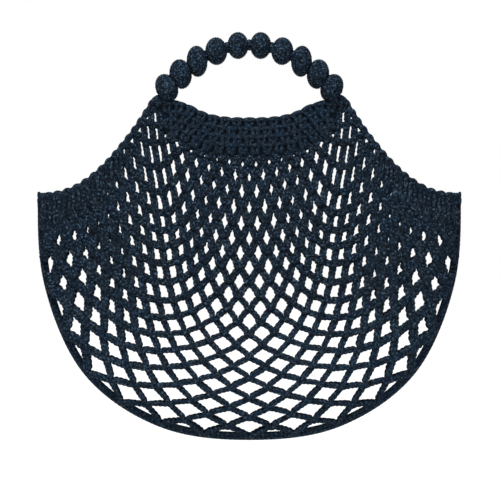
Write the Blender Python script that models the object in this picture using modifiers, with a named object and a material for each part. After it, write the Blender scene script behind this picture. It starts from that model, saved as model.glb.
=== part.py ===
"""String shopping bag: crocheted net, two stitched bands, two handles of covered balls.

Metres, +Z up, front of the bag facing -Y. The origin is where the hand holds the bag,
midway between the two handles and level with the underside of their middle balls.
"""

import math
from collections import namedtuple

import bmesh
import bpy
from mathutils import Matrix, Vector

# Driving sizes
BAG_HALF_WIDTH = 0.2075      # middle of the bag to the middle of the edge cord at a corner
NET_HEIGHT = 0.282           # fold cord to the underside of a band, at the middle
BAND_HEIGHT = 0.036          # underside to top edge of a band, at the middle
GRIP_HEIGHT = 0.060          # top edge of a band to the underside of the middle balls
BAND_END_HEIGHT = 0.0057     # underside to top edge of a band, at its ends
BAND_SHARE = 0.4747          # half the length of a band, as a share of BAG_HALF_WIDTH
BAND_THICKNESS = 0.006
BAND_RELIEF = 0.0011         # how far a row of stitches stands out
STITCH_ROWS = 4
FULL_DEPTH = 0.062           # front net to back net where the bag is fullest
NET_THICKNESS = 0.0055
NET_BAR_WIDTH = 0.010
NET_COLUMNS = 16             # half meshes across the net
NET_ROWS = 7                 # half meshes from the fold cord up to a band
PARTING_ROW = 4              # where the lower and upper panels of a net part
PANEL_ROOM = 0.0004          # between the panels of a net
FOLD_CORD_RADIUS = 0.0036
EDGE_CORD_RADIUS = 0.0035
EDGE_SCALLOP = 0.0005        # how far each bulge of the edge cord stands out
EDGE_STITCHES = 8            # bulges along half of an edge cord
HANDLE_SHARE = 0.8376        # middle of an end ball, as a share of BAND_HALF_LENGTH
END_BALL_ROOM = 0.0007       # between an end ball and the dip in the band under it
HANDLE_BEND = 2.1            # power of the handle's curve: 2 is a parabola
HANDLE_CORD_RADIUS = 0.0042
BALL_HEIGHT = 0.027
BALL_WIDTH = 0.0215
HANDLE_PARTING = 0.004       # between the tallest balls of the two handles
BORE_ROOM = 0.0014           # between the cord, which bends, and a ball's straight bore
CLEARANCE = 0.0003           # between pieces that touch

# Sections of the net from the fold up to a band. rows: share of the rows of mesh.
# out and up: shares of BAG_HALF_WIDTH and NET_HEIGHT at the middle, each quarter and the edge.
Section = namedtuple("Section", "rows out up")
SECTIONS = (
    Section(0.000, (0, 0.427, 0.779, 0.965, 1.000), (0.000, 0.046, 0.226, 0.527, 0.848)),
    Section(0.217, (0, 0.328, 0.583, 0.735, 0.858), (0.167, 0.216, 0.350, 0.590, 0.869)),
    Section(0.478, (0, 0.221, 0.416, 0.573, 0.716), (0.404, 0.428, 0.512, 0.693, 0.940)),
    Section(0.739, (0, 0.162, 0.294, 0.436, 0.581), (0.703, 0.717, 0.749, 0.823, 1.053)),
    Section(0.913, (0, 0.133, 0.255, 0.392, 0.500), (0.924, 0.943, 0.975, 1.021, 1.138)),
    Section(1.000, (0, 0.121, 0.241, 0.366, 0.458), (1.000, 1.004, 1.020, 1.076, 1.189)),
)
QUARTERS = (0, 0.25, 0.5, 0.75, 1)

# How the net turns over at the fold cord: share of the rows that the round takes
FOLD_ROUND = 0.30
CORNER_ROUND = 0.13

# Top edge of a band, with the dip that its end ball sits in. along: share of the way out.
# The dip is the sixth row.
# out and lift: shares of BAND_HALF_LENGTH and BAND_LIFT.
BandEdge = namedtuple("BandEdge", "along out lift")
BAND_EDGE = (
    BandEdge(0.00, 0.000, 0.00),
    BandEdge(0.25, 0.250, 0.03),
    BandEdge(0.50, 0.480, 0.24),
    BandEdge(0.65, 0.620, 0.56),
    BandEdge(0.75, 0.720, 0.77),
    BandEdge(0.83, 0.800, 0.67),
    BandEdge(0.90, 0.865, 0.62),
    BandEdge(1.00, 1.000, 1.00),
)

# Balls of half a handle, from the middle out. pitch: share of the mean pitch along the cord.
# wide and tall: shares of BALL_WIDTH and BALL_HEIGHT. lean: degrees that the top leans out.
Ball = namedtuple("Ball", "pitch wide tall lean")
BALLS = (
    Ball(1.08, 0.97, 0.97, 0),
    Ball(1.06, 1.00, 1.00, 3),
    Ball(1.02, 0.95, 1.13, 4),
    Ball(0.97, 1.02, 1.08, 8),
    Ball(0.92, 1.03, 1.00, 13),
)
BALL_SIDES = 10
BALL_RINGS = 6
BORE_SIDES = 8

# Sizes that follow from those above
BAND_HALF_LENGTH = BAND_SHARE * BAG_HALF_WIDTH
BAND_LIFT = (SECTIONS[-1].up[-1] - 1) * NET_HEIGHT - BAND_HEIGHT + BAND_END_HEIGHT
BAND_TOP = -GRIP_HEIGHT
FOLD_Z = BAND_TOP - BAND_HEIGHT - NET_HEIGHT
MOUTH_HALF_DEPTH = (BALL_HEIGHT * max(ball.tall for ball in BALLS) + HANDLE_PARTING) / 2
HANDLE_TOP = BALL_HEIGHT * BALLS[0].tall / 2
HANDLE_HALF_SPAN = HANDLE_SHARE * BAND_HALF_LENGTH
END_BALL_Z = (BAND_TOP + BAND_LIFT * BAND_EDGE[5].lift + BALL_HEIGHT * BALLS[-1].tall / 2
              + END_BALL_ROOM)
HANDLE_RISE = HANDLE_TOP - END_BALL_Z
BORE_RADIUS = HANDLE_CORD_RADIUS + BORE_ROOM


def smooth(stations, values, t, level_start=False):
    """Value at t on a smooth curve through the values at the stations."""
    last = len(stations) - 1
    k = max(i for i in range(last) if i == 0 or t >= stations[i])

    def chord(i):
        return (values[i + 1] - values[i]) / (stations[i + 1] - stations[i])

    def slope(i):
        if i == 0:
            return 0 if level_start else 1.5 * chord(0) - 0.5 * slope(1)
        if i == last:
            return 1.5 * chord(last - 1) - 0.5 * slope(last - 1)
        return (values[i + 1] - values[i - 1]) / (stations[i + 1] - stations[i - 1])

    width = stations[k + 1] - stations[k]
    f = (t - stations[k]) / width
    return (values[k] * (2 * f**3 - 3 * f**2 + 1) + values[k + 1] * (3 * f**2 - 2 * f**3)
            + width * (slope(k) * (f**3 - 2 * f**2 + f) + slope(k + 1) * (f**3 - f**2)))


def half_depth(u, v):
    """Distance of the net from the middle plane. u: 0 middle, 1 edge. v: 0 fold, 1 band."""
    turn = FOLD_ROUND + (CORNER_ROUND - FOLD_ROUND) * u**4
    round_over = math.sqrt(1 - (1 - min(v / turn, 1))**2)
    swell = (FULL_DEPTH / 2 - MOUTH_HALF_DEPTH) * (1 - u**2) * math.cos(math.pi / 2 * v**1.5)**2
    return round_over * (MOUTH_HALF_DEPTH + swell)


def sheet(u, v):
    """Point of the front net. u: -1 left edge to 1 right. v: 0 fold to 1 band."""
    rows = [section.rows for section in SECTIONS]
    out = [smooth(QUARTERS, section.out, abs(u)) for section in SECTIONS]
    up = [smooth(QUARTERS, section.up, abs(u), level_start=True) for section in SECTIONS]
    return Vector((math.copysign(BAG_HALF_WIDTH * smooth(rows, out, v), u),
                   -half_depth(abs(u), v),
                   FOLD_Z + NET_HEIGHT * smooth(rows, up, v)))


def slants(u, v):
    """At a point of the front net: outward, upward and the sine of the angle between them."""
    step = 0.004
    half_row = 0.5 / NET_ROWS
    point = sheet(u, v)
    outward = (point - sheet(u - math.copysign(step, u), v)).normalized()
    upward = sheet(u, half_row) - point if v < step else point - sheet(u, v - step)
    upward.normalize()
    return outward, upward, math.sin(outward.angle(upward, math.pi / 2))


def trimmed(u, v):
    """Point of the front net as worked: it stops clear of the cords and the band."""
    point = sheet(u, v)
    outward, upward, spread = slants(u, v)
    if abs(u) == 1:
        point -= outward * (EDGE_CORD_RADIUS + 2 * CLEARANCE) / spread
    if v == 0:
        point += upward * (FOLD_CORD_RADIUS + CLEARANCE) / spread
    if v == 1:
        point -= upward * CLEARANCE / spread
    return point


def band_underside(u):
    """Underside of the front band, in the XZ plane."""
    edge = trimmed(u, 1)
    return Vector((edge.x, 0, edge.z + 1.5 * CLEARANCE))


def band_top(u):
    """Top edge of the front band, in the XZ plane."""
    along = [row.along for row in BAND_EDGE]
    out = smooth(along, [row.out for row in BAND_EDGE], abs(u))
    lift = smooth(along, [row.lift for row in BAND_EDGE], abs(u), level_start=True)
    return Vector((math.copysign(BAND_HALF_LENGTH * out, u), 0, BAND_TOP + BAND_LIFT * lift))


def butt(start, direction, radius, face_a, face_b):
    """Where the end of a tube stops, just clear of the flat face through two points."""
    along_face = (face_b - face_a).normalized()
    normal = Vector((-along_face.z, 0, along_face.x))
    if normal.dot(start - face_a) < 0:
        normal = -normal
    approach = -normal.dot(direction)
    tilt = math.sqrt(max(0, 1 - approach**2))
    room = normal.dot(start - face_a) - radius * tilt - CLEARANCE
    return start + direction * room / approach


def handle_point(t):
    """Middle line of a handle. t: -1 left end ball, 0 middle, 1 right end ball."""
    return Vector((HANDLE_HALF_SPAN * t, 0, HANDLE_TOP - HANDLE_RISE * abs(t)**HANDLE_BEND))


def handle_places():
    """Where each ball of the right half sits, as values of t, spaced along the cord."""
    steps = 400
    reach = [0.0]
    for i in range(steps):
        stretch = handle_point((i + 1) / steps) - handle_point(i / steps)
        reach.append(reach[-1] + stretch.length)
    shares = [BALLS[0].pitch / 2]
    for inner, outer in zip(BALLS, BALLS[1:]):
        shares.append(shares[-1] + (inner.pitch + outer.pitch) / 2)
    places = []
    for share in shares:
        goal = reach[-1] * share / shares[-1]
        places.append(next(i for i, r in enumerate(reach) if r >= goal - 1e-9) / steps)
    return places


def handle_route():
    """Points of the cord inside a handle, from one band end to the other, in the XZ plane."""
    count = 9
    half = [handle_point(i / count) for i in range(count + 1)]
    direction = (half[-1] - half[-2]).normalized()
    seat, end = BAND_EDGE[-2].along, BAND_EDGE[-1].along
    half.append(butt(half[-1], direction, HANDLE_CORD_RADIUS, band_top(seat), band_top(end)))
    mirrored = [Vector((-p.x, 0, p.z)) for p in reversed(half[1:])]
    return mirrored + half


def edge_route(side):
    """Points of a front edge cord, from the end of the band down to the corner."""
    front = []
    for i in range(EDGE_STITCHES * 2 + 1):
        share = i / (EDGE_STITCHES * 2)
        front.append(sheet(side, 1 - share * (2 - share)))
    direction = (front[0] - front[1]).normalized()
    ends = [band_underside(side), band_top(side)]
    for end in ends:
        end.y = front[0].y
    front[0] = butt(front[1], direction, EDGE_CORD_RADIUS, ends[0], ends[1])
    front[-2].x, front[-2].z = front[-1].x, front[-1].z
    front[-1].y = -CLEARANCE / 2
    return front


def fold_route():
    """Points of the fold cord, along the rim of the bag from corner to corner."""
    count = 2 * NET_COLUMNS
    route = [sheet(2 * i / count - 1, 0) for i in range(count + 1)]
    room = EDGE_CORD_RADIUS + CLEARANCE
    for end, inner in ((0, 1), (-1, -2)):
        route[end] += (route[inner] - route[end]).normalized() * room
    return route


def material(name, colour, roughness):
    finish = bpy.data.materials.new(name)
    finish.use_nodes = True
    shader = finish.node_tree.nodes["Principled BSDF"]
    shader.inputs["Base Color"].default_value = (*colour, 1)
    shader.inputs["Roughness"].default_value = roughness
    shader.inputs["Metallic"].default_value = 0
    return finish


def add_object(name, mesh, finish, collection):
    obj = bpy.data.objects.new(name, mesh)
    if not mesh.materials:
        mesh.materials.append(finish)
    collection.objects.link(obj)
    return obj


def mitred_in(points, width):
    """The corners of a flat-ish ring of points, each moved inward so its sides move by width."""
    normal = sum((a.cross(b) for a, b in zip(points, points[1:] + points[:1])), Vector())
    normal.normalize()
    moved = []
    for before, point, after in zip(points[-1:] + points[:-1], points, points[1:] + points[:1]):
        inward_a = normal.cross(point - before).normalized()
        inward_b = normal.cross(after - point).normalized()
        moved.append(point + (inward_a + inward_b) * width / (1 + inward_a.dot(inward_b)))
    return moved


def net_panels():
    """Four meshes that make up the front net, a sheet of diamonds from fold cord to band."""
    bm = bmesh.new()
    bm.verts.layers.float_vector.new("worked")
    bm.verts.layers.float_vector.new("facing")
    worked, facing = bm.verts.layers.float_vector.values()
    bmesh.ops.create_grid(bm, x_segments=NET_COLUMNS, y_segments=NET_ROWS, size=1)
    edge_column = NET_COLUMNS // 2
    for vert in bm.verts:
        vert.co.y = (vert.co.y + 1) / 2

    def place(vert):
        return abs(round(vert.co.x * edge_column)), round(vert.co.y * NET_ROWS)

    def crossing(vert):
        return sum(place(vert)) % 2 == 0

    def on_border(vert):
        return place(vert)[0] == edge_column or place(vert)[1] in (0, NET_ROWS)

    for face in bm.faces[:]:
        bmesh.utils.face_split(face, *[vert for vert in face.verts if crossing(vert)])
    inside = [v for v in bm.verts if not crossing(v) and not on_border(v)]
    bmesh.ops.dissolve_verts(bm, verts=inside)
    spokes = [e for e in bm.edges if crossing(e.verts[0]) != crossing(e.verts[1])
              and not e.is_boundary]
    bmesh.ops.dissolve_edges(bm, edges=spokes, use_verts=False)
    rounded = [e for e in bm.edges if e.is_boundary or min(place(v)[1] for v in e.verts) == 0]
    bmesh.ops.bisect_edges(bm, edges=rounded, cuts=1)
    for vert in bm.verts:
        vert.co.x = round(vert.co.x * 2 * edge_column) / (2 * edge_column)
        vert.co.y = round(vert.co.y * 2 * NET_ROWS) / (2 * NET_ROWS)
    gaps = [f for f in bm.faces if sum(v.co.y == 1 for v in f.verts) < 2]
    for vert in bm.verts:
        vert[worked] = trimmed(vert.co.x, vert.co.y)
    rings = [mitred_in([v[worked].copy() for v in gap.verts], NET_BAR_WIDTH / 2) for gap in gaps]
    bmesh.ops.inset_individual(bm, faces=gaps, thickness=CLEARANCE)
    for gap, ring in zip(gaps, rings):
        for vert, point in zip(gap.verts, ring):
            vert[worked] = point
    bmesh.ops.delete(bm, geom=gaps, context="FACES")
    parting = Vector((0, PARTING_ROW / NET_ROWS, 0))
    on_line = 0.00001
    for across in ((1, 0, 0), (0, 1, 0)):
        bmesh.ops.bisect_plane(bm, geom=bm.verts[:] + bm.edges[:] + bm.faces[:], dist=on_line,
                               plane_co=parting, plane_no=across)
    whole = bm.copy()
    for vert in whole.verts:
        vert.co = vert[whole.verts.layers.float_vector["worked"]]
    whole.normal_update()
    for vert, worked_vert in zip(bm.verts, whole.verts):
        vert[facing] = worked_vert.normal
    whole.free()

    panels = {}
    for rise in (-1, 1):
        for side in (-1, 1):
            panel = bm.copy()
            quarter = Vector((side, rise, 0))
            others = [f for f in panel.faces
                      if min((f.calc_center_median() - parting)[i] * quarter[i] for i in (0, 1)) < 0]
            bmesh.ops.delete(panel, geom=others, context="FACES")
            worked, facing = panel.verts.layers.float_vector.values()
            for vert in panel.verts:
                off_line = vert.co - parting
                offset = [math.copysign(PANEL_ROOM / 2, quarter[i]) * (abs(off_line[i]) < on_line)
                          for i in (0, 1)]
                point = vert[worked].copy()
                if any(offset):
                    outward, upward, spread = slants(vert.co.x, vert.co.y)
                    point += (outward * offset[0] + upward * offset[1]) / spread
                vert.co = point - vert[facing] * NET_THICKNESS / 2
            skin = bmesh.ops.extrude_face_region(panel, geom=panel.faces[:], use_keep_orig=True)
            for vert in skin["geom"]:
                if isinstance(vert, bmesh.types.BMVert):
                    vert.co += vert[facing] * NET_THICKNESS
            bmesh.ops.recalc_face_normals(panel, faces=panel.faces)
            panels[rise, side] = bpy.data.meshes.new("net_panel")
            panel.to_mesh(panels[rise, side])
            panel.free()
    bm.free()
    return panels


def band_mesh():
    """The front face of a band, a crescent of stitch rows, open at the band's middle plane."""
    bm = bmesh.new()
    bmesh.ops.create_grid(bm, x_segments=2 * NET_COLUMNS, y_segments=2 * STITCH_ROWS, size=1)
    for vert in bm.verts:
        u = vert.co.x
        across = (vert.co.y + 1) / 2
        valley = 0.5 + 0.5 * math.cos(2 * math.pi * STITCH_ROWS * across)
        vert.co = band_underside(u).lerp(band_top(u), across)
        vert.co.y = BAND_RELIEF * valley - BAND_THICKNESS / 2
    rim = bmesh.ops.extrude_edge_only(bm, edges=[e for e in bm.edges if e.is_boundary])
    for vert in rim["geom"]:
        if isinstance(vert, bmesh.types.BMVert):
            vert.co.y = 0
    bmesh.ops.recalc_face_normals(bm, faces=bm.faces)
    if min(bm.faces, key=lambda f: f.calc_center_median().y).normal.y > 0:
        bmesh.ops.reverse_faces(bm, faces=bm.faces)
    mesh = bpy.data.meshes.new("band")
    bm.to_mesh(mesh)
    bm.free()
    return mesh


def add_tube(name, points, radius, swell, finish, collection):
    """A closed tube through the points; swell gives each point its share of the radius."""
    curve = bpy.data.curves.new(name, "CURVE")
    curve.dimensions = "3D"
    curve.bevel_depth = radius
    curve.bevel_resolution = 1
    curve.use_fill_caps = True
    spline = curve.splines.new("POLY")
    spline.points.add(len(points) - 1)
    for i, point in enumerate(points):
        spline.points[i].co = (*point, 1)
        spline.points[i].radius = swell(i)
    curve.materials.append(finish)
    tube = bpy.data.objects.new(name, curve)
    collection.objects.link(tube)
    return tube


def ball_meshes():
    """Middle, cord direction and mesh of each ball of a handle, in the XZ plane."""
    half = list(zip(handle_places(), BALLS))
    row = [(-t, ball) for t, ball in reversed(half)] + half
    middles = [handle_point(t) for t, _ in row]
    made = []
    for i, (t, ball) in enumerate(row):
        bm = bmesh.new()
        bmesh.ops.create_uvsphere(bm, u_segments=BALL_SIDES, v_segments=BALL_RINGS, radius=1)
        size = Matrix.Diagonal((BALL_HEIGHT * ball.tall / 2, BALL_HEIGHT * ball.tall / 2,
                                BALL_WIDTH * ball.wide / 2, 1))
        turn = Matrix.Rotation(math.pi / 2 + math.copysign(math.radians(ball.lean), t), 4, "Y")
        bmesh.ops.transform(bm, matrix=turn @ size, verts=bm.verts)
        for j in (i - 1, i + 1):
            if 0 <= j < len(row):
                step = middles[j] - middles[i]
                press_flat(bm, step / 2 - step.normalized() * CLEARANCE, step.normalized())
        mesh = bpy.data.meshes.new("ball")
        bm.to_mesh(mesh)
        bm.free()
        reach = 0.05
        made.append((middles[i], handle_point(t + reach) - handle_point(t - reach), mesh))
    return made


def press_flat(bm, point, outward):
    """Cut a closed mesh by a plane, drop what lies outward of it and close the cut."""
    cut = bmesh.ops.bisect_plane(bm, geom=bm.verts[:] + bm.edges[:] + bm.faces[:],
                                 plane_co=point, plane_no=outward, clear_outer=True)
    rim = [edge for edge in cut["geom_cut"] if isinstance(edge, bmesh.types.BMEdge)]
    if rim:
        bmesh.ops.contextual_create(bm, geom=rim)
        bmesh.ops.recalc_face_normals(bm, faces=bm.faces)


def add_bore(name, middle, direction, cutters):
    bm = bmesh.new()
    bmesh.ops.create_cone(bm, cap_ends=True, segments=BORE_SIDES, radius1=BORE_RADIUS,
                          radius2=BORE_RADIUS, depth=2 * BALL_HEIGHT)
    mesh = bpy.data.meshes.new(name)
    bm.to_mesh(mesh)
    bm.free()
    bore = bpy.data.objects.new(name, mesh)
    bore.location = middle
    bore.rotation_mode = "QUATERNION"
    bore.rotation_quaternion = direction.to_track_quat("Z", "Y")
    bore.hide_render = True
    bore.display_type = "WIRE"
    cutters.objects.link(bore)
    return bore


for old in list(bpy.data.objects):
    bpy.data.objects.remove(old)
bag = bpy.data.collections.new("string_shopping_bag")
cutters = bpy.data.collections.new("cutters")
bpy.context.scene.collection.children.link(bag)
bpy.context.scene.collection.children.link(cutters)

navy_cord = material("navy_cord", (0.012, 0.022, 0.036), 0.85)
navy_stitch = material("navy_stitch", (0.011, 0.020, 0.033), 0.88)
navy_cover = material("navy_cover", (0.012, 0.024, 0.040), 0.86)

# The fold cord lies in the middle plane of the bag
add_tube("fold_cord", fold_route(), FOLD_CORD_RADIUS, lambda i: 1, navy_cord, bag)

# The front and the back are alike: the back is the front turned half round. Each net is
# made as four panels, so that collision pieces can follow its curve.
panels = net_panels()
band = band_mesh()
balls = ball_meshes()
for face_name, facing in (("front", 1), ("back", -1)):
    turned = 0 if facing == 1 else math.pi
    half_turn = Matrix.Rotation(turned, 4, "Z")
    for side_name, side in (("left", -1), ("right", 1)):
        for rise_name, rise in (("lower", -1), ("upper", 1)):
            panel = add_object(f"{face_name}_net_{rise_name}_{side_name}",
                               panels[rise, side * facing], navy_cord, bag)
            panel.rotation_euler.z = turned

        edge = add_tube(f"{face_name}_{side_name}_edge_cord", edge_route(side * facing),
                        EDGE_CORD_RADIUS, lambda i: 1 - (i % 2) * EDGE_SCALLOP / EDGE_CORD_RADIUS,
                        navy_cord, bag)
        edge.rotation_euler.z = turned

    half_band = add_object(f"{face_name}_band", band, navy_stitch, bag)
    half_band.location = half_turn @ Vector((0, -MOUTH_HALF_DEPTH, 0))
    half_band.rotation_euler.z = turned
    mirror = half_band.modifiers.new("mirror", "MIRROR")
    mirror.use_axis = (False, True, False)
    mirror.merge_threshold = 0.00001

    cord = add_tube(f"{face_name}_handle_cord", handle_route(), HANDLE_CORD_RADIUS,
                    lambda i: 1, navy_cover, bag)
    cord.location = half_band.location
    cord.rotation_euler.z = turned

    for number, (middle, direction, mesh) in enumerate(balls, start=1):
        ball = add_object(f"{face_name}_ball_{number:02d}", mesh, navy_cover, bag)
        ball.location = half_turn @ (middle + Vector((0, -MOUTH_HALF_DEPTH, 0)))
        ball.rotation_euler.z = turned
        cut = ball.modifiers.new("bore", "BOOLEAN")
        cut.operation = "DIFFERENCE"
        cut.object = add_bore(f"{ball.name}_bore", ball.location, half_turn @ direction,
                              cutters)
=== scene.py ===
"""The string shopping bag as it looks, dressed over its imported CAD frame.

Metres, +Z up, front of the bag facing -Y. The origin is where the hand holds the bag.
"""

import math
from collections import namedtuple

import bmesh
import bpy
import numpy as np
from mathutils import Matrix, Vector, noise


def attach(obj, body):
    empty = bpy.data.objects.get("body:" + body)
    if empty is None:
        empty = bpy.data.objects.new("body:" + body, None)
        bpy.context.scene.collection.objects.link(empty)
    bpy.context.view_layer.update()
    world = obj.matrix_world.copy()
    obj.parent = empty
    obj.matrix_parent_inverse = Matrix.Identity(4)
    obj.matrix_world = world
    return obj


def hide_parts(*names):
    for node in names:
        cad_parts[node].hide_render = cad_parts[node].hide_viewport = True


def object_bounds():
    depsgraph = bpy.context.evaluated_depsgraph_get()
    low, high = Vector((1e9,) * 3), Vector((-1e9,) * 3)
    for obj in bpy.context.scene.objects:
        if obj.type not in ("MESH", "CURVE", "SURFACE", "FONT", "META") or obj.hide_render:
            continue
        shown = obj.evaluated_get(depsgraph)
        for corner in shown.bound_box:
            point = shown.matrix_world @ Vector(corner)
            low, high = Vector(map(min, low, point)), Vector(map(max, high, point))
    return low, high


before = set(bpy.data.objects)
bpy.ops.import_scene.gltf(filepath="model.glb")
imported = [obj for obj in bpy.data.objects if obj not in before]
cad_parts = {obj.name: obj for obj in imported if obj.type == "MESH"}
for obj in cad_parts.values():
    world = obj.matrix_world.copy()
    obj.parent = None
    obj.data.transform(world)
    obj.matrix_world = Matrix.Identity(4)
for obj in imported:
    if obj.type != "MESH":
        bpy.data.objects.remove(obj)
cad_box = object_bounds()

# The net: navy cotton cord crocheted into rows of arches. Each row of chain stitches is
# one long zigzag: its lower turns are hooked over the upper turns of the row beneath it.
# Front and back are the same work, met at a thick starting cord under the bag.

BAG_HALF_WIDTH = 0.2075
NET_HEIGHT = 0.282
BAND_HEIGHT = 0.036
GRIP_HEIGHT = 0.060
FULL_DEPTH = 0.062
MOUTH_HALF_DEPTH = 0.017255
FOLD_ROUND = 0.30
CORNER_ROUND = 0.13
FOLD_Z = -GRIP_HEIGHT - BAND_HEIGHT - NET_HEIGHT
EDGE_COLUMN = 16             # arches across half the net
BAND_LEVEL = 22              # level of the band's underside, counted in rows of arches
FOLD_LEVEL = -1              # level of the starting cord
SIDE_LEVELS = 2              # rows more that show at the sides, where the net is pulled round
PARTING_LEVEL = 12           # where the net is divided into a lower and an upper piece
CORD_WIDTH = 0.0055          # where the load draws the cord thin, low in the net
SLACK_WIDTH = 1.40           # how much wider it is high in the net, where it is slack
SLACK_FROM, SLACK_TO = 8, 16
PINCHED_WIDTH = 0.55         # how thin the cord is squeezed at most, where the net is gathered
ROW_SHORT = 0.007            # how far from the net's edge the top row ends, as a share
CORD_DEPTH = 0.0050
STITCH_PITCH = 0.0045
HOOK_DEPTH = 0.0015          # how far a lower turn lies in front of the turn it holds
HAND_SLIP = 0.05             # unevenness of the hand work, as a share of an arch

# Sections of the net from the fold up to a band. rows: share of the rows of mesh.
# out and up: shares of BAG_HALF_WIDTH and NET_HEIGHT at the middle, each quarter and the edge.
Section = namedtuple("Section", "rows out up")
SECTIONS = (
    Section(0.000, (0, 0.427, 0.779, 0.965, 1.000), (0.000, 0.046, 0.226, 0.527, 0.848)),
    Section(0.217, (0, 0.328, 0.583, 0.735, 0.858), (0.167, 0.216, 0.350, 0.590, 0.869)),
    Section(0.478, (0, 0.221, 0.416, 0.573, 0.716), (0.404, 0.428, 0.512, 0.693, 0.940)),
    Section(0.739, (0, 0.162, 0.294, 0.436, 0.581), (0.703, 0.717, 0.749, 0.823, 1.053)),
    Section(0.913, (0, 0.133, 0.255, 0.392, 0.500), (0.924, 0.943, 0.975, 1.021, 1.138)),
    Section(1.000, (0, 0.121, 0.241, 0.366, 0.458), (1.000, 1.004, 1.020, 1.076, 1.189)),
)
QUARTERS = (0, 0.25, 0.5, 0.75, 1)

# Where the net is bunched towards its sides. out: share of the way out. low and high: how
# much wider the cord is there, low in the net and near the band.
Bunch = namedtuple("Bunch", "out low high")
BUNCHES = (
    Bunch(0.30, 1.00, 1.00),
    Bunch(0.45, 1.22, 1.00),
    Bunch(0.55, 1.43, 1.00),
    Bunch(0.70, 1.72, 0.88),
    Bunch(0.80, 1.85, 0.86),
    Bunch(0.88, 1.72, 0.86),
    Bunch(1.00, 2.25, 0.86),
)
LOW_FROM, LOW_TO = 6, 14     # levels over which the low width turns into the plain one
HIGH_FROM, HIGH_TO = 14, 18  # levels over which the plain width turns into the high one
RIM_WIDTH = 1.40             # how much wider again along the starting cord, towards the sides
RIM_OUT_FROM, RIM_OUT_TO = 0.40, 0.60  # shares of the way out over which that begins
RIM_FROM, RIM_TO = -1, 2     # levels over which it ends
WIDTH_IN_ROOM = 1.5          # the widest that the cord gets, in widths of the room beside it
BESIDE = 0.42                # from a lower turn's middle to its leg beside it, in cord widths
BESIDE_MOST = 0.40           # the same at most, in widths of a column
CUT_BELOW_RIM = 0.15         # how far below the starting cord a row is cut off, in levels
SLIP_SCALE = 0.7             # how quickly the unevenness changes from one arch to the next


def smooth(stations, values, t, level_start=False):
    """Value at t on a smooth curve through the values at the stations."""
    last = len(stations) - 1
    k = max(i for i in range(last) if i == 0 or t >= stations[i])

    def chord(i):
        return (values[i + 1] - values[i]) / (stations[i + 1] - stations[i])

    def slope(i):
        if i == 0:
            return 0 if level_start else 1.5 * chord(0) - 0.5 * slope(1)
        if i == last:
            return 1.5 * chord(last - 1) - 0.5 * slope(last - 1)
        return (values[i + 1] - values[i - 1]) / (stations[i + 1] - stations[i - 1])

    width = stations[k + 1] - stations[k]
    f = (t - stations[k]) / width
    return (values[k] * (2 * f**3 - 3 * f**2 + 1) + values[k + 1] * (3 * f**2 - 2 * f**3)
            + width * (slope(k) * (f**3 - 2 * f**2 + f) + slope(k + 1) * (f**3 - f**2)))


def half_depth(u, v):
    """Distance of the net from the middle plane. u: 0 middle, 1 edge. v: 0 fold, 1 band."""
    turn = FOLD_ROUND + (CORNER_ROUND - FOLD_ROUND) * u**4
    round_over = math.sqrt(1 - (1 - min(v / turn, 1))**2)
    swell = (FULL_DEPTH / 2 - MOUTH_HALF_DEPTH) * (1 - u**2) * math.cos(math.pi / 2 * v**1.5)**2
    return round_over * (MOUTH_HALF_DEPTH + swell)


def sheet(u, v):
    """Point of the front net. u: -1 left edge to 1 right. v: 0 fold to 1 band."""
    rows = [section.rows for section in SECTIONS]
    out = [smooth(QUARTERS, section.out, abs(u)) for section in SECTIONS]
    up = [smooth(QUARTERS, section.up, abs(u), level_start=True) for section in SECTIONS]
    return Vector((math.copysign(BAG_HALF_WIDTH * smooth(rows, out, v), u),
                   -half_depth(abs(u), v),
                   FOLD_Z + NET_HEIGHT * smooth(rows, up, v)))


# A leg of an arch, from its lower turn to its upper turn. The two legs of a lower turn
# run up side by side before they part. part: share of the way from beside each other to
# the upper turn. rise: share of the row.
Leg = namedtuple("Leg", "part rise")
LEG = (Leg(-0.30, 0.02), Leg(-0.10, 0.05), Leg(0.00, 0.17), Leg(0.05, 0.32), Leg(0.24, 0.47),
       Leg(0.50, 0.66), Leg(0.78, 0.83), Leg(0.93, 0.92), Leg(1.00, 0.95))


def net_place(column, level):
    """Place on the front net, the way out of the bag there, and its levels above the rim."""
    u = max(-1, min(1, column / EDGE_COLUMN))
    rim = FOLD_LEVEL - SIDE_LEVELS * u**6
    v = max(0, min(1, (level - rim) / (BAND_LEVEL - rim)))
    u *= 1 - ROW_SHORT * v
    step = 0.01
    across = sheet(min(1, u + step), v) - sheet(max(-1, u - step), v)
    rise = sheet(u, min(1, v + step)) - sheet(u, max(0, v - step))
    outward = across.cross(rise).normalized()
    return sheet(u, v), outward, level - rim


STITCH_GIRTH = (-0.22, 0.07, 0.05)  # how much thicker a leg gets at the rings of one stitch
LEG_APART = 0.21             # how far a leg of yarn lies from the cord's middle, in cord widths
LEG_WIDTH = 0.60             # how wide one leg is, in cord widths


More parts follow.
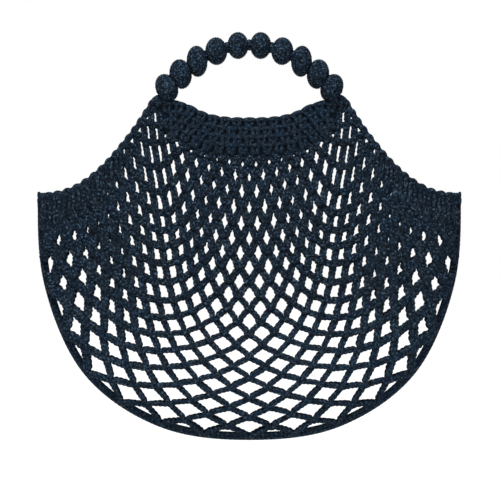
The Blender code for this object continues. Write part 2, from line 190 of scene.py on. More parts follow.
class Cordwork:
    """Gathers worked cords into one mesh. Each point keeps its place in its stitch."""

    def __init__(self):
        self.points, self.faces, self.places = [], [], []
        self.count = 0

    def tube(self, rings, places):
        """Closed tube through rings of points, all with the same number of points."""
        rings = np.asarray(rings)
        places = np.asarray(places)
        n, sides = rings.shape[:2]
        first = self.count
        self.points.append(rings.reshape(-1, 3))
        self.places.append(places.reshape(-1, 3))
        ends = np.array([rings[0].mean(axis=0), rings[-1].mean(axis=0)])
        self.points.append(ends)
        self.places.append(np.array([places[0, 0], places[-1, 0]]))
        self.count += n * sides + 2
        for i in range(n - 1):
            a, b = first + i * sides, first + (i + 1) * sides
            for j in range(sides):
                k = (j + 1) % sides
                self.faces.append((a + j, a + k, b + k, b + j))
        start, end = first + n * sides, first + n * sides + 1
        last = first + (n - 1) * sides
        for j in range(sides):
            k = (j + 1) % sides
            self.faces.append((start, first + k, first + j))
            self.faces.append((end, last + j, last + k))

    def plait(self, path, outward, width, depth, pitch, legs=2, sides=7, relief=1.0, slant=0.5):
        """A cord of chain stitches along a path. Two legs of yarn lie side by side in it.
        width may differ from point to point."""
        path, outward = np.asarray(path), np.asarray(outward)
        width = np.broadcast_to(width, len(path))
        steps = np.linalg.norm(np.diff(path, axis=0), axis=1)
        reach = np.concatenate([[0], np.cumsum(steps)])
        stitches = max(1, round(reach[-1] / pitch))
        at = np.linspace(0, reach[-1], len(STITCH_GIRTH) * stitches + 1)
        middle = np.stack([np.interp(at, reach, path[:, k]) for k in range(3)], axis=1)
        out = np.stack([np.interp(at, reach, outward[:, k]) for k in range(3)], axis=1)
        wide = np.interp(at, reach, width)
        along = np.gradient(middle, axis=0)
        along /= np.linalg.norm(along, axis=1, keepdims=True)
        out -= along * (out * along).sum(axis=1, keepdims=True)
        out /= np.linalg.norm(out, axis=1, keepdims=True)
        across = np.cross(along, out)
        turn = 2 * math.pi * np.arange(sides) / sides
        ring = np.arange(len(at))
        for leg in (-1, 1) if legs == 2 else (0,):
            phase = ring + (1 if leg == 1 else 0)
            girth = 1 + relief * np.array(STITCH_GIRTH)[phase % len(STITCH_GIRTH)]
            apart = leg * LEG_APART * wide
            leg_width = wide * (LEG_WIDTH if legs == 2 else 1.0)
            lag = slant * pitch * (-leg * np.sin(turn) - 0.5 * np.cos(turn)) / 2
            rings = (middle[:, None, :] + (across * apart[:, None])[:, None, :]
                     + out[:, None, :] * (girth[:, None] * np.cos(turn) * depth / 2)[:, :, None]
                     + across[:, None, :]
                     * (girth[:, None] * np.sin(turn) * leg_width[:, None] / 2)[:, :, None]
                     + along[:, None, :] * lag[None, :, None])
            places = np.zeros((len(at), sides, 3))
            places[:, :, 0] = phase[:, None] / len(STITCH_GIRTH)
            places[:, :, 1] = np.sin(turn) + leg
            places[:, :, 2] = np.cos(turn)
            self.tube(rings, places)

    def strand(self, start, end, outward, thick, bow=(0, 0, 0), taper=0.55, sides=8, rows=7):
        """A plump length of cord between two points, thickest in its middle."""
        start, end, bow = np.array(start), np.array(end), np.array(bow)
        t = np.linspace(0, 1, rows)
        middle = (start[None, :] * (1 - t)[:, None] + end[None, :] * t[:, None]
                  + 4 * (t * (1 - t))[:, None] * bow[None, :])
        along = np.gradient(middle, axis=0)
        along /= np.linalg.norm(along, axis=1, keepdims=True)
        out = np.array(outward)[None, :] - along * (along @ np.array(outward))[:, None]
        out /= np.linalg.norm(out, axis=1, keepdims=True)
        across = np.cross(along, out)
        turn = 2 * math.pi * np.arange(sides) / sides
        radius = thick / 2 * (taper + (1 - taper) * np.sin(math.pi * t)**0.8)
        rings = (middle[:, None, :]
                 + out[:, None, :] * (radius[:, None] * np.cos(turn))[:, :, None]
                 + across[:, None, :] * (radius[:, None] * np.sin(turn))[:, :, None])
        places = np.zeros((rows, sides, 3))
        places[:, :, 0] = t[:, None]
        places[:, :, 1] = np.sin(turn)
        places[:, :, 2] = np.cos(turn)
        self.tube(rings, places)

    def piece(self, name, finish, turned=0.0, moved=(0, 0, 0)):
        """The finished mesh as an object, turned about the bag's upright and then moved."""
        points = np.concatenate(self.points)
        c, s = math.cos(turned), math.sin(turned)
        points = points @ np.array([[c, s, 0], [-s, c, 0], [0, 0, 1]]) + np.array(moved)
        mesh = bpy.data.meshes.new(name)
        mesh.from_pydata(points.tolist(), [], self.faces)
        mesh.polygons.foreach_set("use_smooth", [True] * len(mesh.polygons))
        kept = mesh.attributes.new("stitch_place", "FLOAT_VECTOR", "POINT")
        kept.data.foreach_set("vector", np.concatenate(self.places).ravel())
        mesh.materials.append(finish)
        obj = bpy.data.objects.new(name, mesh)
        bpy.context.scene.collection.objects.link(obj)
        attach(obj, "root")
        return obj


class Reading:
    """A number read off a surface. Sums written with it become Math nodes."""

    def __init__(self, tree, socket):
        self.tree, self.socket = tree, socket

    def join(self, operation, *terms):
        node = self.tree.nodes.new("ShaderNodeMath")
        node.operation = operation
        for entry, term in zip(node.inputs, terms):
            if isinstance(term, Reading):
                self.tree.links.new(term.socket, entry)
            else:
                entry.default_value = term
        return Reading(self.tree, node.outputs[0])

    def __add__(self, other):
        return self.join("ADD", self, other)

    def __rsub__(self, other):
        return self.join("SUBTRACT", other, self)

    def __mul__(self, other):
        return self.join("MULTIPLY", self, other)

    def __pow__(self, other):
        return self.join("POWER", self, other)

    __rmul__ = __mul__

    def of(self, operation):
        return self.join(operation, self)

    def between(self, low, high):
        """0 below low, 1 above high, smooth in between."""
        node = self.tree.nodes.new("ShaderNodeMapRange")
        node.interpolation_type = "SMOOTHSTEP"
        self.tree.links.new(self.socket, node.inputs["Value"])
        node.inputs["From Min"].default_value = low
        node.inputs["From Max"].default_value = high
        return Reading(self.tree, node.outputs["Result"])


class Finish:
    """A material in the making."""

    def __init__(self, name):
        self.material = bpy.data.materials.new(name)
        self.material.use_nodes = True
        self.tree = self.material.node_tree
        self.shader = self.tree.nodes["Principled BSDF"]

    def node(self, kind, sockets, out=0, **settings):
        """A node with its settings made, then its sockets given values or links."""
        node = self.tree.nodes.new(kind)
        for key, value in settings.items():
            setattr(node, key, value)
        for key, value in sockets.items():
            if isinstance(value, Reading):
                self.tree.links.new(value.socket, node.inputs[key])
            else:
                node.inputs[key].default_value = value
        return Reading(self.tree, node.outputs[out])

    def feed(self, socket, reading):
        self.tree.links.new(reading.socket, self.shader.inputs[socket])

    def blend(self, low, high, share):
        """Colour between two, by a share of 0 to 1."""
        return self.node("ShaderNodeMix", {"Factor": share, 6: low, 7: high},
                         out=2, data_type="RGBA")


# Navy cotton, in linear colours.
# DARK_NAVY is the fibres' darker tone, and also the painted shade in the grooves between stitches.
DARK_NAVY = (0.0007, 0.0014, 0.0026)
BLUE_NAVY = (0.0046, 0.0108, 0.0200)
GREY_NAVY = (0.0066, 0.0115, 0.0180)
PALE_FLECK = (0.0240, 0.0420, 0.0640)
PAINTED_LIGHT_FULL_Z, PAINTED_LIGHT_GONE_Z = -0.33, -0.20  # heights between which the painted light on the low net fades out; the dense upper net stays darker, as painted shade
FLECK_SCALE = 480.0
ROUGHNESS, LESS_ROUGH = 0.95, 0.12   # in the dark between the fibres, and how much less on them
SHEEN = 0.03


def opaque(colour, shade=1.0):
    return (*(shade * c for c in colour), 1)


def yarn(name, fibre_along, fibre_round, groove_shade, flecks=0.8, shade=1.0, painted_low_light=1.0):
    """Navy cotton yarn. fibre_along and fibre_round: fibres in a stitch, each way.
    groove_shade: how dark the painted shade is in the groove between two stitches. flecks: how
    plain the pale flecks show.
    painted_low_light: how much paler the cord is painted low in the bag: painted light, fading out
    upwards so that the dense upper net keeps a painted shade.
    """
    cloth = Finish(name)
    place = cloth.node("ShaderNodeAttribute", {}, out=1, attribute_name="stitch_place")
    spot = cloth.node("ShaderNodeTexCoord", {}, out=3)
    split = cloth.tree.nodes.new("ShaderNodeSeparateXYZ")
    cloth.tree.links.new(place.socket, split.inputs[0])
    along = Reading(cloth.tree, split.outputs[0])
    side = Reading(cloth.tree, split.outputs[1])
    front = Reading(cloth.tree, split.outputs[2])
    fibres_at = cloth.node("ShaderNodeCombineXYZ", {"X": along * fibre_along,
                                                    "Y": side * fibre_round,
                                                    "Z": front * fibre_round})
    fibres = cloth.node("ShaderNodeTexNoise", {"Vector": fibres_at, "Scale": 1.0,
                                               "Detail": 3.0, "Roughness": 0.6})
    fuzz = cloth.node("ShaderNodeTexNoise", {"Vector": spot, "Scale": 1100.0, "Detail": 2.0})
    speck = cloth.node("ShaderNodeTexNoise", {"Vector": spot, "Scale": 420.0, "Detail": 1.0})
    patch = cloth.node("ShaderNodeTexNoise", {"Vector": spot, "Scale": 55.0, "Detail": 2.0})
    in_stitch = along.of("FRACT")
    ridge = (in_stitch * math.pi).of("SINE") ** 0.6
    # Painted shade: depth darkens the grooves between stitches, and the pale flecks fade there
    # too.
    depth = 1 - groove_shade * (1 - ridge)
    spot_parts = cloth.tree.nodes.new("ShaderNodeSeparateXYZ")
    cloth.tree.links.new(spot.socket, spot_parts.inputs[0])
    # Painted light and shade by height: the cord is paler low in the bag and darker high up, where
    # the net is dense.
    painted_light_fade = Reading(cloth.tree, spot_parts.outputs[2]).between(PAINTED_LIGHT_FULL_Z, PAINTED_LIGHT_GONE_Z)
    light = (fibres.between(0.40, 0.60) * 0.45 + speck.between(0.45, 0.59) * 0.45
             + fuzz.between(0.4, 0.65) * 0.1) * depth * (painted_low_light - painted_light_fade * (painted_low_light - 1))
    fleck = cloth.node("ShaderNodeTexNoise", {"Vector": spot, "Scale": FLECK_SCALE,
                                              "Detail": 1.0})
    pale = cloth.blend(opaque(BLUE_NAVY, shade), opaque(GREY_NAVY, shade),
                       patch.between(0.38, 0.62))
    colour = cloth.blend(opaque(DARK_NAVY, shade), pale, light)
    colour = cloth.blend(colour, opaque(PALE_FLECK, shade),
                         fleck.between(0.56, 0.68) * depth * flecks)
    cloth.feed("Base Color", colour)
    cloth.feed("Roughness", ROUGHNESS - light * LESS_ROUGH)
    cloth.shader.inputs["Specular IOR Level"].default_value = SHEEN
    height = fibres * 0.5 + fuzz * 0.25 + speck * 0.25
    bump = cloth.node("ShaderNodeBump", {"Height": height, "Strength": 0.8,
                                         "Distance": 0.0008})
    cloth.feed("Normal", bump)
    return cloth.material


def ramp(value, low, high):
    """0 below low, 1 above high, smooth in between."""
    part = max(0, min(1, (value - low) / (high - low)))
    return part * part * (3 - 2 * part)


def cord_width(column, level):
    """Width of the net's cord, and how far apart the columns are there."""
    sideways = abs(column) / EDGE_COLUMN
    wide = CORD_WIDTH * (1 + (SLACK_WIDTH - 1) * ramp(level, SLACK_FROM, SLACK_TO))
    out = [bunch.out for bunch in BUNCHES]
    low = np.interp(sideways, out, [bunch.low for bunch in BUNCHES])
    high = np.interp(sideways, out, [bunch.high for bunch in BUNCHES])
    side_width = (1 + (low - 1) * (1 - ramp(level, LOW_FROM, LOW_TO))
                  + (high - 1) * ramp(level, HIGH_FROM, HIGH_TO))
    side_width *= 1 + ((RIM_WIDTH - 1) * ramp(sideways, RIM_OUT_FROM, RIM_OUT_TO)
                       * (1 - ramp(level, RIM_FROM, RIM_TO)))
    step = 0.25
    level = max(level, FOLD_LEVEL + 0.5)
    a = net_place(column + step, level)[0] - net_place(column - step, level)[0]
    b = net_place(column, level + step)[0] - net_place(column, level - step)[0]
    columns = a.length / (2 * step)
    room = a.cross(b).length / (2 * step * b.length)
    return wide * max(PINCHED_WIDTH, min(1, WIDTH_IN_ROOM * room / wide)) * side_width, columns


def net_row(level):
    """One row of arches on the front net: its path, the way out, and the cord's width."""
    samples = 13
    stations = [i / (len(LEG) - 1) for i in range(len(LEG))]
    runs, on_net = [], False
    for column in range(-EDGE_COLUMN, EDGE_COLUMN):
        rising = (column + level) % 2 == 1
        wide, columns = cord_width(column + 0.5, level + 0.5)
        beside = min(BESIDE_MOST, BESIDE * wide / columns)
        for i in range(samples):
            t = i / samples if rising else 1 - i / samples
            part = smooth(stations, [leg.part for leg in LEG], t)
            rise = smooth(stations, [leg.rise for leg in LEG], t)
            if part < 0:
                across = beside * (1 - part / LEG[0].part)
            else:
                across = beside + (1 - beside) * part
            across = across if rising else 1 - across
            place = Vector(((column + across) * SLIP_SCALE, (level + rise) * SLIP_SCALE, 5.0))
            free = 2 * HAND_SLIP * (1 - min(1, abs(column + across) / EDGE_COLUMN)**8)
            slip_x = noise.noise(place) * free
            slip_z = noise.noise(place + Vector((40, 0, 0))) * free
            point, out, above_rim = net_place(column + across + slip_x, level + rise + slip_z)
            if above_rim < -CUT_BELOW_RIM:
                on_net = False
                continue
            if not on_net:
                runs.append(([], [], []))
                on_net = True
            for kept, value in zip(runs[-1], (point + out * HOOK_DEPTH * math.cos(math.pi * t),
                                              out, wide)):
                kept.append(value)
    return [run for run in runs if len(run[0]) > samples // 2]


net_cord = yarn("net_cord", 5.0, 1.6, 0.85, shade=0.87, painted_low_light=1.8)
rows = {level: net_row(level) for level in range(FOLD_LEVEL - SIDE_LEVELS, BAND_LEVEL)}
for half, levels in (("lower", range(FOLD_LEVEL - SIDE_LEVELS, PARTING_LEVEL)),
                     ("upper", range(PARTING_LEVEL, BAND_LEVEL))):
    work = Cordwork()
    for level in levels:
        for path, outward, width in rows[level]:
            work.plait(path, outward, width, CORD_DEPTH, STITCH_PITCH)
    for face, turned in (("front", 0), ("back", math.pi)):
        piece = work.piece(f"{face}_net_{half}", net_cord, turned)
        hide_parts(f"{face}_net_{half}_left", f"{face}_net_{half}_right")

# The ribs under the open sides of the mouth: the net's edge is gathered on to the edge cord,
# so its top stitches hang from it as long strands, close beside each other. Same cord.

RIB_PITCH = 0.0047
RIB_WIDTH = 0.0045
RIB_DEPTH = 0.0052
RIB_LENGTHS = (0.018, 0.032) # near the band, at the corner
RIB_FROM, RIB_TO = 0.128, 0.205
RIB_PROUD = 0.0022           # how far the ribs stand in front of the net
RIB_TUCK = 1.8               # how far a rib's lower end goes back into it, in shares of that
RIB_START = 0.0015           # how far below the edge a rib begins
RIB_STEPS = 8
RIB_GROWTH = 0.35            # power: how early on the way to the corner the ribs get long
RIB_UNEVEN, RIB_SLIP = 0.25, 0.0006  # unevenness of their lengths, as a share, and places
NEAR_POINTS = 6              # points of the net that a rib's depth is read from
NEAR_SOFTENING = 0.0004
GRID_OUT, GRID_UP = 80, 100  # steps of the grid of those points, out from the middle and up
GRID_FROM = 36               # step where that grid begins, inside the first rib
EDGE_POINTS = 200

grid = [(u / GRID_OUT, v / GRID_UP) for u in range(GRID_FROM, GRID_OUT + 1)
        for v in range(GRID_UP + 1)]
side_net = np.array([tuple(sheet(u, v)) for u, v in grid])
rim_edge = np.array([tuple(sheet(1, v / EDGE_POINTS)) for v in range(EDGE_POINTS + 1)])[::-1]


def rib_path(x, length, side):
    """Upright path down the front net from the edge cord at x, and the way out along it."""
    top = np.interp(x, rim_edge[:, 0], rim_edge[:, 2]) - RIB_START
    path = []
    for i in range(RIB_STEPS + 1):
        z = top - length * i / RIB_STEPS
        reach = np.hypot(side_net[:, 0] - x, side_net[:, 2] - z)
        near = np.argsort(reach)[:NEAR_POINTS]
        share = 1 / (reach[near] + NEAR_SOFTENING)
        y = ((side_net[near, 1] * share).sum() / share.sum()
             - RIB_PROUD * (1 - (i / RIB_STEPS)**4 * RIB_TUCK))
        path.append((side * x, y, z))
    return path


work = Cordwork()
for side in (-1, 1):
    for i in range(round((RIB_TO - RIB_FROM) / RIB_PITCH) + 1):
        x = RIB_FROM + i * RIB_PITCH
        share = (x - RIB_FROM) / (RIB_TO - RIB_FROM)
        unevenness = noise.noise(Vector((x * 900, side * 3.0, 7.0)))
        length = ((RIB_LENGTHS[0] + (RIB_LENGTHS[1] - RIB_LENGTHS[0]) * share**RIB_GROWTH)
                  * (1 + RIB_UNEVEN * unevenness))
        path = rib_path(x + RIB_SLIP * unevenness, length, side)
        work.plait(path, [(0, -1, 0)] * len(path), RIB_WIDTH, RIB_DEPTH, STITCH_PITCH, legs=1,
                   relief=0.35)
for face, turned in (("front", 0), ("back", math.pi)):
    ribs = work.piece(f"{face}_net_ribs", net_cord, turned)

# The starting cord: two chains side by side along the rim under the bag, corner to
# corner. Both nets are worked on to it.

START_WIDTH = 0.0048
START_DEPTH = START_WIDTH * 1.1
START_APART = 0.0031
START_PLACES = (0.45, -0.55) # where the two chains lie, in shares of START_APART
RIM_STEPS = 64               # along half the rim

rim = [sheet(i / RIM_STEPS - 1, 0) for i in range(2 * RIM_STEPS + 1)]
away = []
for i in range(len(rim)):
    chord = rim[min(i + 1, len(rim) - 1)] - rim[max(i - 1, 0)]
    away.append(Vector((chord.z, 0, -chord.x)).normalized())
work = Cordwork()
for share in START_PLACES:
    work.plait([p + a * (START_APART * share) for p, a in zip(rim, away)], away, START_WIDTH,
               START_DEPTH, STITCH_PITCH, relief=0.5, slant=0)
starting_cord = work.piece("starting_cord", net_cord)
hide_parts("fold_cord")

# The edge cords: along each open side of the mouth the net's edge is bound with a row of
# plump chain links over a cord, which gives it its scallops.

EDGE_CORE = 0.0054
LINK_PITCH = 0.0102
LINK_THICK = 0.0043
LINK_SPREAD = 0.0014         # how far the two legs of a link bow apart
LINK_RISE = 0.0021           # how far a link stands out from the middle of the cord
EDGE_STEPS = 60              # along half an edge cord
INSIDE_EDGE = 0.96           # where the net is that the edge looks away from, as a share
edge_chain = yarn("edge_chain", 3.0, 3.0, 0.60, flecks=0.5, shade=0.95)


def spaced(path, pitch):
    """Points a pitch apart along a path."""
    points = np.array([tuple(p) for p in path])
    reach = np.concatenate([[0], np.cumsum(np.linalg.norm(np.diff(points, axis=0), axis=1))])
    count = max(1, round(reach[-1] / pitch))
    at = np.linspace(0, reach[-1], count + 1)
    return np.stack([np.interp(at, reach, points[:, k]) for k in range(3)], axis=1)


def chain(work, path, up, out, thick, spread, rise):
    """A row of chain links along a path, each with two legs that bow apart."""
    for i in range(len(path) - 1):
        a, b = np.array(path[i]), np.array(path[i + 1])
        up_i, out_i = np.array(up[i]), np.array(out[i])
        for leg in (-1, 1):
            work.strand(a, b, out_i, thick, bow=out_i * leg * spread + up_i * rise, taper=0.5)


for side_name, side in (("left", -1), ("right", 1)):
    front, away_front = [], []
    for i in range(EDGE_STEPS + 1):
        v = 1 - i / EDGE_STEPS * (2 - i / EDGE_STEPS)
        point = sheet(side, v)
        front.append(point)
        away_front.append((point - sheet(side * INSIDE_EDGE, v)).normalized())
    turned_back = [Vector((p.x, -p.y, p.z)) for p in reversed(front[:-1])]
    path = front + turned_back
    away = away_front + [Vector((a.x, -a.y, a.z)) for a in reversed(away_front[:-1])]
    work = Cordwork()
    work.plait(path, away, EDGE_CORE, EDGE_CORE, STITCH_PITCH, relief=0.6)
    links = spaced(path, LINK_PITCH)
    nearest = [min(range(len(path)), key=lambda j: (path[j] - Vector(p)).length) for p in links]
    up = [away[j] for j in nearest]
    out = []
    for j in nearest:
        along = path[min(j + 1, len(path) - 1)] - path[max(j - 1, 0)]
        out.append(along.cross(away[j]).normalized())
    chain(work, links, up, out, LINK_THICK, LINK_SPREAD, LINK_RISE)
    edge = work.piece(f"{side_name}_edge_binding", edge_chain)
    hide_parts(f"front_{side_name}_edge_cord", f"back_{side_name}_edge_cord")

# The bands: four rows of close single crochet in the same cord, worked on to the net, as
# a crescent that the handle is sewn to. Every stitch shows two legs under a chain link.

BAND_END_HEIGHT = 0.0057
BAND_HALF_LENGTH = 0.4747 * BAG_HALF_WIDTH
BAND_LIFT = (SECTIONS[-1].up[-1] - 1) * NET_HEIGHT - BAND_HEIGHT + BAND_END_HEIGHT
BAND_TOP = -GRIP_HEIGHT
STITCH_ROWS = 4
STITCH_WIDTH = 0.0122
LEG_THICK = 0.0050
BAND_LINK_THICK = 0.0044
TOP_LINK_RISE = 0.0021       # how far the top links stand above the top row's edge
GROUND_THICK = 0.0026        # the close work behind the stitches that show
GROUND_REACH = 0.93          # how far out that reaches, as a share of the band's half length
GROUND_SIDES = 16
TALLEST_ROW = 0.009
ROWS_BEND_TO = 0.072         # how far out the rows keep step with the band's underside
END_SPARE = 0.004            # what the stitches leave free at a band's end
# A stitch of the band, in shares of its width and its row's height: its legs, then its link.
LEG_FOOT_OUT, LEG_HEAD_OUT, LEG_FOOT_DOWN, LEG_HEAD_UP = 0.09, 0.27, 0.66, 0.34
LINK_REACH, LINK_START_UP, LINK_END_UP = 0.56, 0.40, 0.46
# How far its points stand in front of the band's middle plane, and how far it bows.
LEG_FOOT_PROUD, LEG_HEAD_PROUD, LEG_BOW = 0.0010, 0.0012, 0.0007
LINK_START_PROUD, LINK_END_PROUD = 0.0011, 0.0014
LINK_BOW_OUT, LINK_BOW_UP = 0.0009, 0.0008
LINK_STAGGER = 0.0004        # how far a link is below its row's place in front, and above behind
END_PROUD = 0.0014           # how far END_STITCHES stand in front of and behind that plane
END_BOW_OUT, END_BOW_UP = 0.001, 0.0012
ROWS_REACH_MM = 98           # how far out the stitch rows are laid
GROUND_DROP = 0.001          # how much lower the ground is than the edges of the band
EndStitch = namedtuple("EndStitch", "out_1 up_1 out_2 up_2 thick")
END_STITCHES = (             # they hold an end ball down on its band
    EndStitch(0.0980, -0.0480, 0.0890, -0.0385, 0.0056),
    EndStitch(0.0930, -0.0500, 0.0840, -0.0410, 0.0056),
    EndStitch(0.0960, -0.0440, 0.0800, -0.0445, 0.0050),
    EndStitch(0.0860, -0.0470, 0.0700, -0.0450, 0.0050),
)
BandEdge = namedtuple("BandEdge", "along out lift")
BAND_EDGE = (
    BandEdge(0.00, 0.000, 0.00),
    BandEdge(0.25, 0.250, 0.03),
    BandEdge(0.50, 0.480, 0.24),
    BandEdge(0.65, 0.620, 0.56),
    BandEdge(0.75, 0.720, 0.77),
    BandEdge(0.83, 0.800, 0.67),
    BandEdge(0.90, 0.865, 0.62),
    BandEdge(1.00, 1.000, 1.00),
)
band_stitch = yarn("band_stitch", 3.0, 3.0, 0.75, flecks=0.35, shade=1.0)


def band_top(u):
    """Top edge of a band, across and up."""
    along = [row.along for row in BAND_EDGE]
    out = smooth(along, [row.out for row in BAND_EDGE], abs(u))
    lift = smooth(along, [row.lift for row in BAND_EDGE], abs(u), level_start=True)
    return math.copysign(BAND_HALF_LENGTH * out, u), BAND_TOP + BAND_LIFT * lift


shares = [i / 100 - 1 for i in range(201)]
top_line = np.array([band_top(u) for u in shares])
low_line = np.array([(sheet(u, 1).x, sheet(u, 1).z) for u in shares])
tallest = STITCH_ROWS * TALLEST_ROW


def band_line(x, row):
    """Height of the middle of a stitch row at x, the row's height and the underside there."""
    top = np.interp(x, top_line[:, 0], top_line[:, 1]) - TOP_LINK_RISE
    low = np.interp(x, low_line[:, 0], low_line[:, 1])
    middle_low = np.interp(min(abs(x), ROWS_BEND_TO), low_line[:, 0], low_line[:, 1])
    full = min(top - middle_low, tallest)
    tall = full / STITCH_ROWS
    return top - (row + 0.5) * tall, tall, low


work = Cordwork()
front_way = np.array([0, -1.0, 0])
for row in range(STITCH_ROWS):
    line = [Vector((x / 1000, 0, band_line(x / 1000, row)[0]))
            for x in range(-ROWS_REACH_MM, ROWS_REACH_MM + 1)]
    marks = spaced(line, STITCH_WIDTH)
    shift = 0.5 * (row % 2)
    for i in range(len(marks) - 1):
        a, b = marks[i], marks[i + 1]
        slid = a + (b - a) * shift
        a, b = slid, slid + (b - a)
        middle = (a + b) / 2
        along = (b - a) / np.linalg.norm(b - a)
        up = np.array([-along[2], 0, along[0]])
        height, tall, low = band_line(middle[0], row)
        if height < low + 0.1 * tall or abs(middle[0]) > BAND_HALF_LENGTH - END_SPARE:
            continue
        for face in (1, -1):
            out = front_way * face
            slide = 0 if face == 1 else STITCH_WIDTH / 2
            for leg in (-1, 1):
                foot = (middle + along * (slide + leg * LEG_FOOT_OUT * STITCH_WIDTH)
                        - up * LEG_FOOT_DOWN * tall)
                head = (middle + along * (slide + leg * LEG_HEAD_OUT * STITCH_WIDTH)
                        + up * LEG_HEAD_UP * tall)
                work.strand(foot + out * LEG_FOOT_PROUD, head + out * LEG_HEAD_PROUD, out,
                            LEG_THICK, bow=out * LEG_BOW, taper=0.7)
            start = (middle - along * STITCH_WIDTH * LINK_REACH
                     + up * (LINK_START_UP * tall - LINK_STAGGER * face))
            end = (middle + along * STITCH_WIDTH * LINK_REACH
                   + up * (LINK_END_UP * tall - LINK_STAGGER * face))
            work.strand(start + out * LINK_START_PROUD, end + out * LINK_END_PROUD, out,
                        BAND_LINK_THICK, bow=out * LINK_BOW_OUT + up * LINK_BOW_UP, taper=0.6)
for side in (-1, 1):
    for stitch in END_STITCHES:
        for depth in (-1, 1):
            work.strand((side * stitch.out_1, depth * END_PROUD, stitch.up_1),
                        (side * stitch.out_2, depth * END_PROUD, stitch.up_2),
                        (0, depth, 0), stitch.thick,
                        bow=(side * END_BOW_OUT, depth * END_BOW_OUT, END_BOW_UP), taper=0.7)
ground = []
for u in (share * GROUND_REACH for share in shares):
    low = np.array([sheet(u, 1).x, 0, sheet(u, 1).z - GROUND_DROP])
    high = np.array([band_top(u)[0], 0, band_top(u)[1] - GROUND_DROP])
    ground.append([(low + high) / 2 + (high - low) / 2 * math.cos(turn)
                   + np.array([0, GROUND_THICK / 2, 0]) * math.sin(turn)
                   for turn in (2 * math.pi * k / GROUND_SIDES for k in range(GROUND_SIDES))])
work.tube(ground, np.zeros((len(ground), GROUND_SIDES, 3)))
for face_name, turned in (("front", 0), ("back", math.pi)):
    y = -MOUTH_HALF_DEPTH if turned == 0 else MOUTH_HALF_DEPTH
    band = work.piece(f"{face_name}_stitched_band", band_stitch, turned, (0, y, 0))
    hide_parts(f"{face_name}_band")

# The handles: ten balls on a cord, each a core with a close crocheted cover. The cover
# gathers to a neck between the balls. The lower balls are pressed against each other.

BALL_HEIGHT = 0.027
BALL_WIDTH = 0.0215
HANDLE_BEND = 2.1
NECK_WIDTH = 0.0104
COVER_ROUND = 0.0021         # one round of the cover's stitches
COVER_RELIEF = 0.00036
PRESSED_IN = 0.0012          # how far a soft cover passes the middle plane to the next ball
REST_GAP = 0.0007            # from a band's top edge to the end ball that sits on it
NECK_DROP = 0.007            # how far the necks' cord goes on past the end balls' middles
NECK_STEPS = 40              # along half a handle
BALL_RINGS, BALL_SIDES = 49, 60
FIRST_RING, RING_SPAN = 0.02, 0.96  # where a cover's rings begin and how far they go, pole to pole
Ball = namedtuple("Ball", "pitch wide tall lean")
BALLS = (
    Ball(1.08, 0.97, 0.97, 0),
    Ball(1.06, 1.00, 1.00, 3),
    Ball(1.02, 0.95, 1.13, 4),
    Ball(0.97, 1.02, 1.08, 8),
    Ball(0.92, 1.01, 1.04, 24),
)
HANDLE_TOP = BALL_HEIGHT * BALLS[0].tall / 2
HANDLE_HALF_SPAN = 0.8376 * BAND_HALF_LENGTH
REST = BAND_EDGE[5]          # the place on a band's top edge where an end ball sits
END_BALL_Z = BAND_TOP + BAND_LIFT * REST.lift + BALL_HEIGHT * BALLS[-1].tall / 2 + REST_GAP
HANDLE_RISE = HANDLE_TOP - END_BALL_Z


def handle_point(t):
    """Middle line of a handle. t: -1 left end ball, 0 middle, 1 right end ball."""
    return Vector((HANDLE_HALF_SPAN * t, 0, HANDLE_TOP - HANDLE_RISE * abs(t)**HANDLE_BEND))


def handle_places():
    """Where each ball of the right half sits, as values of t, spaced along the cord."""
    steps = 400
    reach = [0.0]
    for i in range(steps):
        reach.append(reach[-1] + (handle_point((i + 1) / steps) - handle_point(i / steps)).length)
    shares = [BALLS[0].pitch / 2]
    for inner, outer in zip(BALLS, BALLS[1:]):
        shares.append(shares[-1] + (inner.pitch + outer.pitch) / 2)
    return [next(i for i, r in enumerate(reach) if r >= reach[-1] * share / shares[-1] - 1e-9)
            / steps for share in shares]


COVER_DARK = (0.0004, 0.0009, 0.0018)
COVER_BLUE = (0.0042, 0.0098, 0.0180)
COVER_GREY = (0.0058, 0.0102, 0.0164)
COVER_FLECK = (0.0225, 0.0395, 0.0600)


def cover_finish():
    """The cover of a ball: fine close stitches, pale on top and dark between, the dark between
    them painted shade.
    """
    cloth = Finish("ball_cover")
    spot = cloth.node("ShaderNodeTexCoord", {}, out=3)
    stitch = cloth.node("ShaderNodeTexVoronoi", {"Vector": spot, "Scale": 410.0,
                                                 "Randomness": 0.75})
    fuzz = cloth.node("ShaderNodeTexNoise", {"Vector": spot, "Scale": 1300.0, "Detail": 2.0})
    patch = cloth.node("ShaderNodeTexNoise", {"Vector": spot, "Scale": 90.0, "Detail": 2.0})
    # Painted shade: COVER_DARK fills the gaps between the stitch crowns.
    crown = 1 - stitch.between(0.15, 0.75)
    light = crown * 0.85 + fuzz.between(0.35, 0.7) * 0.15
    fleck = cloth.node("ShaderNodeTexNoise", {"Vector": spot, "Scale": FLECK_SCALE,
                                              "Detail": 1.0})
    pale = cloth.blend(opaque(COVER_BLUE), opaque(COVER_GREY), patch.between(0.38, 0.62))
    colour = cloth.blend(opaque(COVER_DARK), pale, light)
    colour = cloth.blend(colour, opaque(COVER_FLECK), fleck.between(0.55, 0.68) * 0.7)
    cloth.feed("Base Color", colour)
    cloth.feed("Roughness", ROUGHNESS - light * LESS_ROUGH)
    cloth.shader.inputs["Specular IOR Level"].default_value = SHEEN
    bump = cloth.node("ShaderNodeBump", {"Height": crown * 0.7 + fuzz * 0.3, "Strength": 0.9,
                                         "Distance": 0.0008})
    cloth.feed("Normal", bump)
    return cloth.material


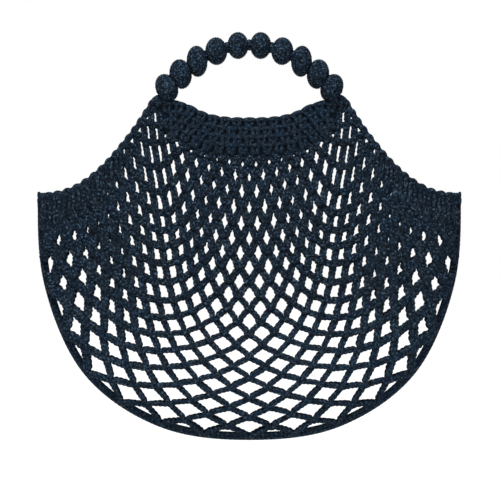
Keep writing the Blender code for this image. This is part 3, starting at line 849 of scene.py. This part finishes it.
ball_cover = cover_finish()
right_half = list(zip(handle_places(), BALLS))
threaded = [(-t, ball) for t, ball in reversed(right_half)] + right_half
middles = [handle_point(t) for t, _ in threaded]
covered = []
for i, (t, ball) in enumerate(threaded):
    lean = math.copysign(math.radians(ball.lean), t)
    axis = Vector((math.cos(lean), 0, -math.sin(lean)))
    upright = Vector((math.sin(lean), 0, math.cos(lean)))
    tall, wide = BALL_HEIGHT * ball.tall / 2, BALL_WIDTH * ball.wide / 2
    rounds = round(math.pi * (tall + wide) / 2 / COVER_ROUND)
    rings = []
    for k in range(BALL_RINGS):
        turn = math.pi * (FIRST_RING + RING_SPAN * k / (BALL_RINGS - 1))
        ring = []
        for j in range(BALL_SIDES):
            swing = 2 * math.pi * j / BALL_SIDES
            ridge = math.cos(2 * math.pi * rounds * k / (BALL_RINGS - 1))
            lump = (1 if (j + k // 3) % 2 else -1) * 0.5
            out = 1 + COVER_RELIEF * (ridge + lump * max(0, ridge)) / tall
            point = (axis * -math.cos(turn) * wide + (upright * math.cos(swing)
                     + Vector((0, 1, 0)) * math.sin(swing)) * math.sin(turn) * tall) * out
            for m in (i - 1, i + 1):
                if 0 <= m < len(middles):
                    way = middles[m] - middles[i]
                    past = point.dot(way.normalized()) - way.length / 2 - PRESSED_IN
                    if past > 0:
                        point -= way.normalized() * past
            ring.append(middles[i] + point)
        rings.append([tuple(p) for p in ring])
    places = np.zeros((BALL_RINGS, BALL_SIDES, 3))
    covered.append((rings, places))
neck_path = [handle_point(i / NECK_STEPS - 1) for i in range(2 * NECK_STEPS + 1)]
drop = (neck_path[0] - neck_path[1]).normalized() * NECK_DROP
neck_path = [neck_path[0] + drop] + neck_path + [neck_path[-1] + Vector((-drop.x, 0, drop.z))]
for face_name, turned in (("front", 0), ("back", math.pi)):
    moved = (0, -MOUTH_HALF_DEPTH if turned == 0 else MOUTH_HALF_DEPTH, 0)
    for number, (rings, places) in enumerate(covered, start=1):
        work = Cordwork()
        work.tube(rings, places)
        piece = work.piece(f"{face_name}_covered_ball_{number:02d}", ball_cover, turned, moved)
        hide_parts(f"{face_name}_ball_{number:02d}")
    work = Cordwork()
    work.plait(neck_path, [Vector((0, -1, 0))] * len(neck_path), NECK_WIDTH, NECK_WIDTH,
               COVER_ROUND * 1.5, legs=1, sides=20, relief=0.35)
    neck = work.piece(f"{face_name}_necks", ball_cover, turned, moved)
    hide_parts(f"{face_name}_handle_cord")

# The stage: a pale floor well below the bag in a white world, so that it hangs before white as
# in the photo. Two soft lamps light it, and a long lens looks at it from straight in front.

FLOOR_DROP = 0.35
FLOOR_RADIUS = 60
LAMP_AIM = Vector((0, 0, -0.15))
Lamp = namedtuple("Lamp", "name place size power")
LAMPS = (
    Lamp("key", (-0.5, -1.7, 2.8), 1.2, 380),
    Lamp("fill", (1.8, -2.0, 0.6), 1.4, 18),
)
CAMERA_DISTANCE = 9.0
CAMERA_X, CAMERA_Z = 0.0007, -0.192
FRAME_WIDTH = 0.5

floor_mesh = bpy.data.meshes.new("floor")
bm = bmesh.new()
bmesh.ops.create_circle(bm, cap_ends=True, segments=96, radius=FLOOR_RADIUS)
bm.to_mesh(floor_mesh)
bm.free()
floor = bpy.data.objects.new("floor", floor_mesh)
floor.location.z = cad_box[0][2] - FLOOR_DROP
bpy.context.scene.collection.objects.link(floor)
paint = Finish("pale_floor")
paint.shader.inputs["Base Color"].default_value = (0.9, 0.9, 0.9, 1)
paint.shader.inputs["Roughness"].default_value = 0.9
paint.shader.inputs["Emission Color"].default_value = (1, 1, 1, 1)
paint.shader.inputs["Emission Strength"].default_value = 0.2
floor_mesh.materials.append(paint.material)

world = bpy.data.worlds.new("soft_white")
bpy.context.scene.world = world
world.use_nodes = True
world.node_tree.nodes["Background"].inputs["Color"].default_value = (1, 1, 1, 1)
world.node_tree.nodes["Background"].inputs["Strength"].default_value = 1.0

for row in LAMPS:
    lamp = bpy.data.lights.new(row.name, "AREA")
    lamp.size = row.size
    lamp.energy = row.power
    light = bpy.data.objects.new(row.name, lamp)
    light.location = row.place
    aim = LAMP_AIM - light.location
    light.rotation_euler = aim.to_track_quat("-Z", "Y").to_euler()
    bpy.context.scene.collection.objects.link(light)

camera = bpy.data.cameras.new("camera")
camera.sensor_width = 36
camera.lens = camera.sensor_width * CAMERA_DISTANCE / FRAME_WIDTH
view = bpy.data.objects.new("camera", camera)
view.location = (CAMERA_X, -CAMERA_DISTANCE, CAMERA_Z)
view.rotation_euler = (math.pi / 2, 0, 0)
camera.clip_end = 200
bpy.context.scene.collection.objects.link(view)
bpy.context.scene.camera = view
bpy.context.scene.view_settings.view_transform = "Standard"
